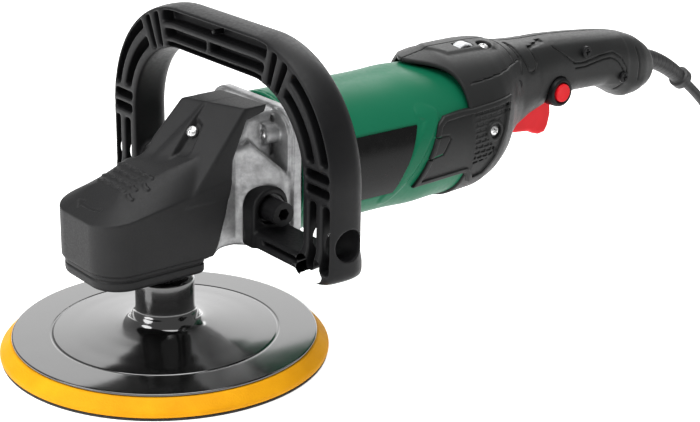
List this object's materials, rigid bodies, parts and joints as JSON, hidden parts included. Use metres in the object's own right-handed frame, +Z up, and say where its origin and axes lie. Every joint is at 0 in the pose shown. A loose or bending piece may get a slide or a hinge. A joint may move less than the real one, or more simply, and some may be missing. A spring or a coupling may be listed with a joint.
{
  "type": "rotary polisher",
  "caption": "Corded rotary polisher: round foam-backed pad on a right-angle gear head, loop handle over the head, green motor barrel, rear grip with trigger and lock-on button.",
  "frame": {"origin": "centre of the pad's working face, on the spindle axis", "axes": "+Z up along the spindle, +X back along the motor towards the rear grip, +Y to the flank with the spindle lock"},
  "size_m": [0.6425, 0.2305, 0.1805],
  "materials": {
    "black_nylon": "fine-textured black glass-filled nylon",
    "brass": "drawn brass",
    "carbon": "carbon",
    "cast_aluminium": "sand-cast, mottled",
    "copper": "copper wire and bars",
    "cord_rubber": "black rubber",
    "gloss_black": "smooth glossy black moulded plastic",
    "green_plastic": "satin green moulded nylon",
    "grey_black_plastic": "satin dark grey plastic",
    "hook_fabric": "hook-and-loop fabric",
    "label_film": "black printed film, left blank",
    "lamination": "stacked electrical steel",
    "light_plastic": "light grey plastic",
    "red_plastic": "satin red plastic",
    "steel": "ground steel",
    "yellow_foam": "dense yellow foam rubber",
    "zinc_steel": "zinc-plated screws"
  },
  "bodies": {
    "housing": {"bearing_cover": "cast_aluminium", "bearing_cover_screws": "zinc_steel", "bearing_sleeve": "cord_rubber", "brush_holders": "brass", "brush_springs": "steel", "button_collar": "black_nylon", "carbon_brushes": "carbon", "clamp_screws": "zinc_steel", "coil_tie": "cord_rubber", "cord_clamp": "black_nylon", "cord_coil": "cord_rubber", "cord_sleeve": "cord_rubber", "cord_tail": "cord_rubber", "dust_seal": "cord_rubber", "fan_baffle": "black_nylon", "field_coils": "copper", "flange_screws": "zinc_steel", "front_bearing": "steel", "gear_housing": "cast_aluminium", "handle_bolts": "steel", "handle_washers": "zinc_steel", "head_cover": "black_nylon", "loop_handle": "black_nylon", "motor_housing": "green_plastic", "name_plates": "label_film", "plug_body": "cord_rubber", "plug_pins": "brass", "power_cord": "cord_rubber", "rear_bearing": "steel", "rear_shell_left": "grey_black_plastic", "rear_shell_right": "grey_black_plastic", "shell_screws": "zinc_steel", "speed_module": "grey_black_plastic", "spindle_bearing": "steel", "stator_core": "lamination", "switch_body": "black_nylon", "top_needle_bearing": "steel", "trigger_pin": "steel", "trigger_spring": "steel", "vent_cover_left": "black_nylon", "vent_cover_right": "black_nylon", "vent_cover_screws": "zinc_steel"},
    "spindle_assembly": {"hook_layer": "hook_fabric", "foam_ring": "yellow_foam", "backing_plate": "gloss_black", "plate_insert": "steel", "spindle": "steel", "crown_gear": "steel"},
    "armature": {"armature_shaft": "steel", "armature_core": "lamination", "armature_windings": "copper", "commutator": "copper", "fan": "black_nylon", "pinion": "steel"},
    "trigger_lever": {"trigger": "red_plastic"},
    "lock_button": {"lock_on_button": "red_plastic"},
    "dial": {"speed_dial": "light_plastic"},
    "spindle_lock": {"spindle_lock_button": "black_nylon"}
  },
  "joints": [
    {"name": "spindle_spin", "type": "hinge", "parent": "housing", "child": "spindle_assembly", "pos_m": [0, 0, 0], "axis": [0, 0, 1], "continuous": true},
    {"name": "armature_spin", "type": "hinge", "parent": "housing", "child": "armature", "pos_m": [0, 0, 0.095], "axis": [1, 0, 0], "continuous": true},
    {"name": "trigger_squeeze", "type": "hinge", "parent": "housing", "child": "trigger_lever", "pos_m": [0.241, 0, 0.091], "axis": [0, -1, 0], "range_deg": [0, 8], "stiffness_Nm_per_rad": 0.8, "springref_deg": -17.19, "deforming": ["trigger_spring"]},
    {"name": "lock_on_press", "type": "slide", "parent": "housing", "child": "lock_button", "axis": [0, 1, 0], "range_m": [0, 0.003], "stiffness_N_per_m": 800, "springref_m": -0.004},
    {"name": "dial_turn", "type": "hinge", "parent": "housing", "child": "dial", "pos_m": [0.206, 0, 0.1373], "axis": [0, 1, 0], "range_deg": [0, 270]},
    {"name": "spindle_lock_press", "type": "slide", "parent": "housing", "child": "spindle_lock", "axis": [0, -1, 0], "range_m": [0, 0.0039], "stiffness_N_per_m": 600, "springref_m": -0.005}
  ],
  "couplings": [
    {"joint": "armature_spin", "follows": "spindle_spin", "ratio": 3.5}
  ]
}
